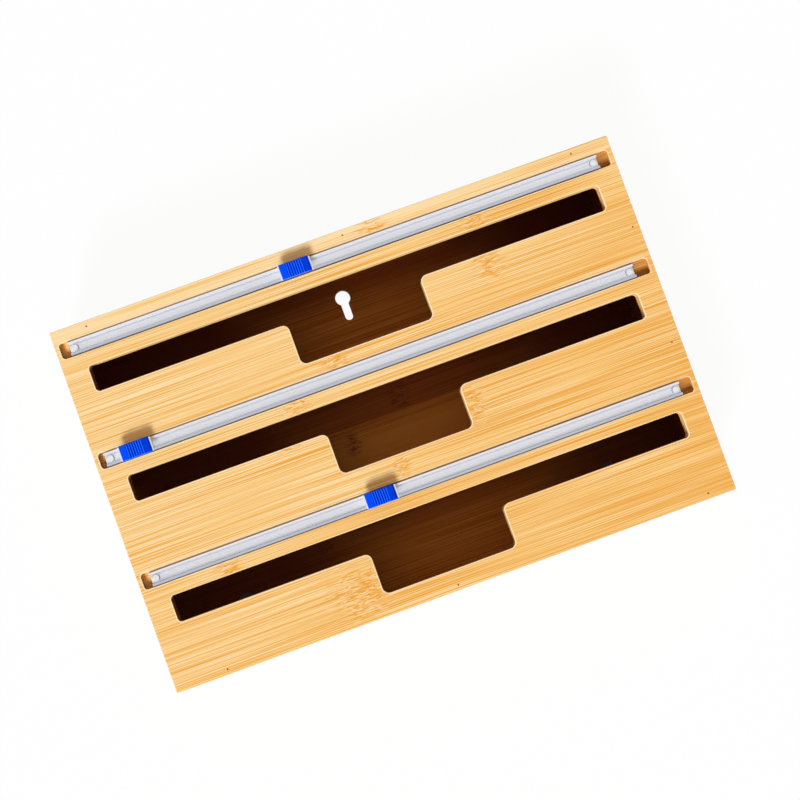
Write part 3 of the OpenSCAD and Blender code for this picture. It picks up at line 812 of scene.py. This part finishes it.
class Board:
    """A board with eased edges. Its outline lies in the first two axes and its thickness in the third."""

    def __init__(self, node, axes, looks, low_look=OUTSIDE, high_look=OUTSIDE, ease=BOARD_EASE, wear_and_highlight=1.0):
        low, high = reach(node)
        first, second, third = ("XYZ".index(axis) for axis in axes)
        self.node = node
        self.order = (first, second, third)
        self.low = low[third]
        self.high = high[third]
        self.looks = looks
        self.cap_looks = {self.low: low_look, self.high: high_look}
        self.caps = {self.low: [], self.high: []}
        self.mesh = bmesh.new()
        self.edge = self.mesh.verts.layers.float.new("edge")
        radius = ease + WEAR_AND_HIGHLIGHT_W + CORNER_SPARE
        loop = rectangle(low[first], low[second], high[first], high[second], radius, BOARD_STEPS)
        self.side(loop, -1, ease, OUTSIDE, wear_and_highlight)

    def ring(self, loop, level, wear_and_highlight=0.0):
        verts = []
        for point in loop:
            place = [0.0, 0.0, 0.0]
            for axis, value in zip(self.order, (point.x, point.y, level)):
                place[axis] = value * MM
            vert = self.mesh.verts.new(place)
            vert[self.edge] = wear_and_highlight(point) if callable(wear_and_highlight) else wear_and_highlight
            verts.append(vert)
        return verts

    def band(self, first, second, look):
        for i in range(len(first)):
            face = self.mesh.faces.new((first[i - 1], first[i], second[i], second[i - 1]))
            face.smooth = True
            face.material_index = look

    def cap(self, loops, look):
        """Fills the area between rings, given as (loop, verts)."""
        verts = [vert for _, ring in loops for vert in ring]
        flat = [[point.to_3d() for point in loop] for loop, _ in loops]
        for corners in tessellate_polygon(flat):
            face = self.mesh.faces.new([verts[i] for i in corners])
            face.material_index = look

    def eased(self, loop, side, level, ease, wear_and_highlight=1.0):
        """Rounds the edge along a loop at one face. side is -1 round the board and 1 round a hole.

        The last argument tells how strong the wear and painted highlight along the edge are, or is a
        function that tells it at a point.
        """
        look = self.cap_looks[level]
        inward = 1 if level == self.low else -1
        wall = self.ring(loop, level + inward * (ease + WORN_DEPTH))
        last = wall
        for step in range(EASE_STEPS + 1):
            turn = math.pi / 2 * step / EASE_STEPS
            moved = offset(loop, side * ease * (1 - math.cos(turn)))
            ring = self.ring(moved, level + inward * ease * (1 - math.sin(turn)), wear_and_highlight)
            self.band(last, ring, look)
            last = ring
        for width, amount in ((WEAR_AND_HIGHLIGHT_W / 2, wear_and_highlight), (WEAR_AND_HIGHLIGHT_W, 0.0)):
            moved = offset(loop, side * (ease + width))
            ring = self.ring(moved, level, amount)
            self.band(last, ring, look)
            last = ring
        self.caps[level].append((moved, last))
        return wall

    def side(self, loop, side, ease, look, wear_and_highlight=1.0):
        """Wall through the whole board, along its outline or a hole."""
        low_ring = self.eased(loop, side, self.low, ease, wear_and_highlight)
        self.band(low_ring, self.eased(loop, side, self.high, ease, wear_and_highlight), look)

    def pocket(self, loop, level, depth, ease, look, wear_and_highlight=1.0):
        """Blind hole in one face."""
        wall = self.eased(loop, 1, level, ease, wear_and_highlight)
        floor_level = level + depth if level == self.low else level - depth
        floor = self.ring(loop, floor_level)
        self.band(wall, floor, look)
        self.cap([(loop, floor)], look)

    def nail_hole(self, x, y, level):
        self.pocket(circle(x, y, NAIL_R), level, NAIL_DEPTH, HOLE_EASE, CUT_EDGE, 0.0)

    def finish(self, body):
        for level, look in self.cap_looks.items():
            self.cap(self.caps[level], look)
        bmesh.ops.recalc_face_normals(self.mesh, faces=self.mesh.faces)
        add_piece(self.node, self.mesh, self.looks, body)


def add_piece(node, built, looks, body):
    data = bpy.data.meshes.new(node + "_look")
    built.to_mesh(data)
    built.free()
    for look in looks:
        data.materials.append(look)
    piece = bpy.data.objects.new(node + "_look", data)
    bpy.context.scene.collection.objects.link(piece)
    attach(piece, body)
    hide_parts(node)


# Film slots, finger notches and grooves of the face
CUT_SHIFT = -0.2
SLOT_END = 15.3
SLOT_OFFSET = 13.1
SLOT_W = 16.3
SLOT_R = 2.5
NOTCH_L = 84.0
NOTCH_REACH = 26.2
NOTCH_R = 4.0
GROOVE_END = 3.0
GROOVE_FRONT = 4.7
GROOVE_REAR = 5.05
GROOVE_DEPTH = 5.0
GROOVE_R = 2.0
# Nails in the back and the corners
OUTER_BACK_NAIL_X = 137.5
WALL_NAIL_Y = 109.5
DIVIDER_Y = 36.167
END_NAIL = (172.0, 62.0)
CORNER_NAILS = ((172.0, 18.0), (172.0, 52.0))
# Keyholes in the back, and holes for the door's pins and the magnets
KEYHOLES = ((-3.6, 80.8), (-124.6, -78.6), (117.4, -78.6))
KEY_R = 4.8
KEY_STEPS = 28
KEY_SLOT_R = 2.5
KEY_SLOT_L = 12.3
KEY_SLOT_STEPS = 12
PIN_PLACE = (-172.5, 54.6)
PIN_R = 2.01
MAGNET_Z = 20.0
MAGNET_R = 2.01
MAGNET_L = 5.0


def slot_loop(rear_y):
    half = reach("face_panel")[1].x - SLOT_END
    left, right = CUT_SHIFT - half, CUT_SHIFT + half
    notch_left, notch_right = CUT_SHIFT - NOTCH_L / 2, CUT_SHIFT + NOTCH_L / 2
    front_y = rear_y - SLOT_W
    notch_y = front_y - NOTCH_REACH
    corners = (
        (left, front_y, SLOT_R), (notch_left, front_y, NOTCH_R), (notch_left, notch_y, NOTCH_R),
        (notch_right, notch_y, NOTCH_R), (notch_right, front_y, NOTCH_R), (right, front_y, SLOT_R),
        (right, rear_y, SLOT_R), (left, rear_y, SLOT_R),
    )
    return outline(corners, CUT_STEPS)


def cut_row(face, row):
    """Cuts a film slot with its notch and, behind it, the groove of a rail."""
    low, high = reach("cutter_rail_" + row)
    row_y = (low.y + high.y) / 2
    slot_y = row_y - SLOT_OFFSET
    half = reach("face_panel")[1].x - GROOVE_END
    left, right = CUT_SHIFT - half, CUT_SHIFT + half
    front_y, rear_y = row_y - GROOVE_FRONT, row_y + GROOVE_REAR

    def slot_wear_and_highlight(point):
        return 1.0 if point.y < slot_y - SLOT_EDGE_W else SLOT_REAR_WEAR_AND_HIGHLIGHT

    def groove_wear_and_highlight(point):
        if point.x > right - GROOVE_R:
            return GROOVE_RIGHT_WEAR_AND_HIGHLIGHT
        return GROOVE_FRONT_WEAR_AND_HIGHLIGHT if point.y < front_y + GROOVE_EDGE_W else 1.0

    face.side(slot_loop(slot_y), 1, FACE_EASE, CUT_EDGE, slot_wear_and_highlight)
    groove = rectangle(left, front_y, right, rear_y, GROOVE_R, CUT_STEPS)
    face.pocket(groove, face.high, GROOVE_DEPTH, FACE_EASE, GROOVED, groove_wear_and_highlight)


def make_face():
    looks = (FACE_WOOD, INSIDE_FLAT, CUT_WOOD, GROOVE_WOOD)
    face = Board("face_panel", ALONG_X_FLAT, looks, INNER, OUTSIDE, FACE_EASE, RIM_WEAR_AND_HIGHLIGHT)
    for row in ROWS:
        cut_row(face, row)
    for x, y in FACE_NAILS:
        face.nail_hole(x, y, face.high)
    face.finish("box")


def keyhole_loop(x, y):
    meet = math.asin(KEY_SLOT_R / KEY_R)
    start = -math.pi / 2 + meet
    end = math.pi * 1.5 - meet
    slot_end = arc(x, y - KEY_SLOT_L, KEY_SLOT_R, math.pi, math.tau, KEY_SLOT_STEPS)
    return arc(x, y, KEY_R, start, end, KEY_STEPS) + slot_end


def make_back_board(node, keyholes, nails):
    back = Board(node, ALONG_X_FLAT, (BACK_WOOD, INSIDE_FLAT, CUT_WOOD), OUTSIDE, INNER)
    for x, y in keyholes:
        back.side(keyhole_loop(x, y), 1, BOARD_EASE, CUT_EDGE)
    for x, y in nails:
        back.nail_hole(x, y, back.low)
    back.finish("box")


def make_back():
    halves = (("back_board_rear", 1, KEYHOLES[:1]), ("back_board_front", -1, KEYHOLES[1:]))
    for node, side, keyholes in halves:
        nails = [(x, side * WALL_NAIL_Y) for x in (-OUTER_BACK_NAIL_X, 0.0, OUTER_BACK_NAIL_X)]
        nails += [(x, side * DIVIDER_Y) for x in (-OUTER_BACK_NAIL_X, OUTER_BACK_NAIL_X)]
        nails.append((END_NAIL[0], side * END_NAIL[1]))
        make_back_board(node, keyholes, nails)


def make_long_wall(node, low_look, high_look):
    wall = Board(node, ALONG_X_UPRIGHT, (WALL_WOOD, INSIDE_UPRIGHT, CUT_WOOD), low_look, high_look)
    wall.side(circle(*PIN_PLACE, PIN_R), 1, HOLE_EASE, CUT_EDGE)
    outer = wall.low if low_look == OUTSIDE else wall.high
    for x, z in CORNER_NAILS:
        wall.nail_hole(x, z, outer)
    wall.finish("box")


def make_divider(node, y):
    divider = Board(node, ALONG_Y_UPRIGHT, (INSIDE_UPRIGHT,))
    divider.pocket(circle(y, MAGNET_Z, MAGNET_R), divider.low, MAGNET_L, HOLE_EASE, OUTSIDE)
    divider.finish("box")


make_face()
make_back()
make_long_wall("front_wall", OUTSIDE, INNER)
make_long_wall("rear_wall", INNER, OUTSIDE)
Board("right_end_wall", ALONG_Y_UPRIGHT, (END_WOOD, INSIDE_END), INNER, OUTSIDE).finish("box")
make_divider("divider_rear", DIVIDER_Y)
make_divider("divider_front", -DIVIDER_Y)


# Slider caps: sloping ends, a hollow crown with round ribs, and rounded edges

CAP_END_H = 1.6
CAP_CROWN_H = 2.7
CAP_CROWN_L = 10.4
CROWN_DIP = 0.5
CAP_ROUND = 0.6
RIB_COUNT = 7
RIB_R = 0.55
RIB_MARGIN = 0.3
# Spacing of the points along and across a cap, and their turns over its rounded edges
CAP_STEP_L = 0.1
CAP_STEP_W = 0.5
ROUND_TURNS = (15, 30, 45, 60, 75, 90)
# Widths and levels of the painted light on a cap: a highlight along its front edge, shade at its right end,
# light and shade on its two slopes, and how fast the painted shade darkens down a rib
EDGE_SHINE_W = 0.4
SHADED_END_W = 0.9
EDGE_LEVEL = 0.9
LEFT_LEVEL = 0.5
RIGHT_LEVEL = 0.32
RIB_CONTRAST = 2.6


def spaced(half, step):
    """Places from -half to half, closer together over the rounded edges."""
    flat = half - CAP_ROUND
    count = round(2 * flat / step)
    inner = [-flat + 2 * flat * i / count for i in range(count + 1)]
    edge = [flat + CAP_ROUND * math.sin(math.radians(turn)) for turn in ROUND_TURNS]
    return [-place for place in reversed(edge)] + inner + edge


def edge_drop(place, half):
    past = max(0.0, abs(place) - (half - CAP_ROUND))
    return CAP_ROUND - math.sqrt(max(0.0, CAP_ROUND ** 2 - past ** 2))


def rib_height(x, y, half_w):
    pitch = CAP_CROWN_L / RIB_COUNT
    from_rib = (x + CAP_CROWN_L / 2) % pitch - pitch / 2
    fade = min(1.0, max(0.0, (half_w - RIB_MARGIN / 2 - abs(y)) / RIB_MARGIN))
    return fade * math.sqrt(max(0.0, RIB_R ** 2 - from_rib ** 2))


def rib_level(x, y, half_l, half_w):
    """Painted light on a cap: 1 on the ribs, 0 between them and at the right end, and in between elsewhere.
    """
    if y < EDGE_SHINE_W - half_w:
        return EDGE_LEVEL
    if x > half_l - SHADED_END_W:
        return 0.0
    if abs(x) > CAP_CROWN_L / 2:
        return LEFT_LEVEL if x < 0 else RIGHT_LEVEL
    share = rib_height(x, y, half_w) / RIB_R
    return max(0.0, 1 - RIB_CONTRAST * (1 - share))


def cap_height(x, y, half_l, half_w):
    crown = CAP_CROWN_L / 2
    if abs(x) < crown:
        height = CAP_CROWN_H - CROWN_DIP * (1 - (x / crown) ** 2) + rib_height(x, y, half_w)
    else:
        height = CAP_CROWN_H - (CAP_CROWN_H - CAP_END_H) * (abs(x) - crown) / (half_l - crown)
    return height - max(edge_drop(x, half_l), edge_drop(y, half_w))


def make_cap(row):
    node = "slider_cap_" + row
    low, high = reach(node)
    centre = (low + high) / 2
    half_l = (high.x - low.x) / 2
    half_w = (high.y - low.y) / 2
    built = bmesh.new()
    rib = built.verts.layers.float.new("rib")
    grid = []
    for x in spaced(half_l, CAP_STEP_L):
        column = []
        for y in spaced(half_w, CAP_STEP_W):
            height = cap_height(x, y, half_l, half_w)
            vert = built.verts.new(Vector((centre.x + x, centre.y + y, low.z + height)) * MM)
            vert[rib] = rib_level(x, y, half_l, half_w)
            column.append(vert)
        grid.append(column)
    for first, second in zip(grid, grid[1:]):
        for i in range(1, len(first)):
            built.faces.new((first[i - 1], second[i - 1], second[i], first[i])).smooth = True
    rim = [column[0] for column in grid] + grid[-1][1:-1] + [column[-1] for column in reversed(grid)]
    rim += list(reversed(grid[0][1:-1]))
    foot = [built.verts.new((vert.co.x, vert.co.y, low.z * MM)) for vert in rim]
    for i in range(len(rim)):
        built.faces.new((rim[i - 1], foot[i - 1], foot[i], rim[i])).smooth = True
    built.faces.new(foot)
    bmesh.ops.recalc_face_normals(built, faces=built.faces)
    add_piece(node, built, (BLUE_PLASTIC,), "cutter_" + row)


for row in ROWS:
    make_cap(row)


# Solids that stay, with their materials and eased edges

DOOR_EASE = 0.6
RAIL_EASE = 0.28
SHOE_EASE = 0.15
WELD_GAP = 0.005
FLAT_ANGLE = math.radians(0.5)
SHARP_ANGLE = math.radians(32)
SOLID_EASE_STEPS = 3
LOOKS = {
    "loading_door": END_WOOD, "door_pivot_pins": PIN_STEEL,
    "door_magnets": NICKEL, "divider_magnets": NICKEL,
    "face_nails": NAIL_STEEL, "back_nails": NAIL_STEEL, "corner_nails": NAIL_STEEL,
}
EASED = {"loading_door": DOOR_EASE}
for row in ROWS:
    LOOKS["rail_tape_" + row] = TAPE_FOAM
    LOOKS["cutter_rail_" + row] = CLEAR_PLASTIC
    LOOKS["slider_shoe_" + row] = SHOE_PLASTIC
    LOOKS["cutter_blade_" + row] = BLADE_STEEL
    EASED["cutter_rail_" + row] = RAIL_EASE
    EASED["slider_shoe_" + row] = SHOE_EASE


def ease_edges(piece, width):
    """Joins the faces of a solid again and rounds its sharp edges."""
    weld = piece.modifiers.new("weld", "WELD")
    weld.merge_threshold = WELD_GAP * MM
    merge = piece.modifiers.new("merge", "DECIMATE")
    merge.decimate_type = "DISSOLVE"
    merge.angle_limit = FLAT_ANGLE
    ease = piece.modifiers.new("ease", "BEVEL")
    ease.width = width * MM
    ease.segments = SOLID_EASE_STEPS
    ease.limit_method = "ANGLE"
    ease.angle_limit = SHARP_ANGLE
    ease.use_clamp_overlap = False
    ease.harden_normals = True


for node, look in LOOKS.items():
    slots = NODES[node].data.materials
    slots.clear()
    slots.append(look)
for node, width in EASED.items():
    ease_edges(NODES[node], width)


# Floor, light and background

FLOOR_SIZE = 6.0
FLOOR_LEVEL = -0.3 * MM
FLOOR_COLOR = (0.9, 0.9, 0.9)
FLOOR_ROUGHNESS = 0.9
# What the floor throws back at the sides of the box
FLOOR_BOUNCE = (0.3, 0.3, 0.3)
FLOOR_GLOW = 0.95
# What is left of that glow under the front back board, where the floor is painted dark as shade and shows
# through its keyholes, and how far in from its edges it fades
COVERED_GLOW = 0.008
COVER_FADE = 2 * MM
WHITE = (1.0, 1.0, 1.0)


def seen_directly(tree):
    """1 for what the camera sees straight, in a reflection or through something clear, and 0 for light."""
    path = tree.nodes.new("ShaderNodeLightPath")
    seen = calc(tree, "MAXIMUM", path.outputs["Is Camera Ray"], path.outputs["Is Glossy Ray"])
    return calc(tree, "MAXIMUM", seen, path.outputs["Is Transmission Ray"])


def covered_floor(tree):
    """1 on the floor under the front back board, where it is painted dark as shade, and 0 elsewhere."""
    low, high = (corner * MM for corner in reach("back_board_front"))
    place = coordinates(tree)
    covered = remap(tree, calc(tree, "ABSOLUTE", place["X"]), high.x, high.x - COVER_FADE)
    covered = calc(tree, "MULTIPLY", covered, remap(tree, place["Y"], low.y, low.y + COVER_FADE))
    return calc(tree, "MULTIPLY", covered, remap(tree, place["Y"], high.y, high.y - COVER_FADE))


def floor_material():
    material, tree, shader = new_material("floor")
    put(shader.inputs["Roughness"], FLOOR_ROUGHNESS)
    put(shader.inputs["Specular IOR Level"], 0.0)
    covered = covered_floor(tree)
    seen = seen_directly(tree)
    color = mix(tree, seen, FLOOR_BOUNCE, FLOOR_COLOR)
    put(shader.inputs["Base Color"], mix(tree, covered, color, SHADE_COLOR))
    lit = calc(tree, "MULTIPLY", seen, remap(tree, covered, 0.0, 1.0, FLOOR_GLOW, COVERED_GLOW))
    mix_surface(tree, lit, shader, tree.nodes.new("ShaderNodeEmission"))
    return material


def make_floor():
    half = FLOOR_SIZE / 2
    mesh = bpy.data.meshes.new("floor")
    corners = ((-half, -half), (half, -half), (half, half), (-half, half))
    mesh.from_pydata([(x, y, FLOOR_LEVEL) for x, y in corners], [], [(0, 1, 2, 3)])
    mesh.materials.append(floor_material())
    floor = bpy.data.objects.new("floor", mesh)
    bpy.context.scene.collection.objects.link(floor)


SUN_TRAVEL = Vector((0.62, 0.97, -1.0))
SUN_STRENGTH = 3.79
SUN_COLOR = (0.784, 0.91, 1.0)
SUN_SPREAD = math.radians(18)
SKY_LIGHT = (0.38, 0.28, 0.208)


def make_light():
    data = bpy.data.lights.new("key", "SUN")
    data.energy = SUN_STRENGTH
    data.color = SUN_COLOR
    data.angle = SUN_SPREAD
    key = bpy.data.objects.new("key", data)
    key.rotation_mode = "QUATERNION"
    key.rotation_quaternion = SUN_TRAVEL.to_track_quat("-Z", "Y")
    bpy.context.scene.collection.objects.link(key)
    world = bpy.data.worlds.new("world")
    bpy.context.scene.world = world
    world.use_nodes = True
    tree = world.node_tree
    put(tree.nodes["Background"].inputs["Color"], mix(tree, seen_directly(tree), SKY_LIGHT, WHITE))


make_floor()
make_light()
bpy.context.scene.view_settings.view_transform = "Standard"
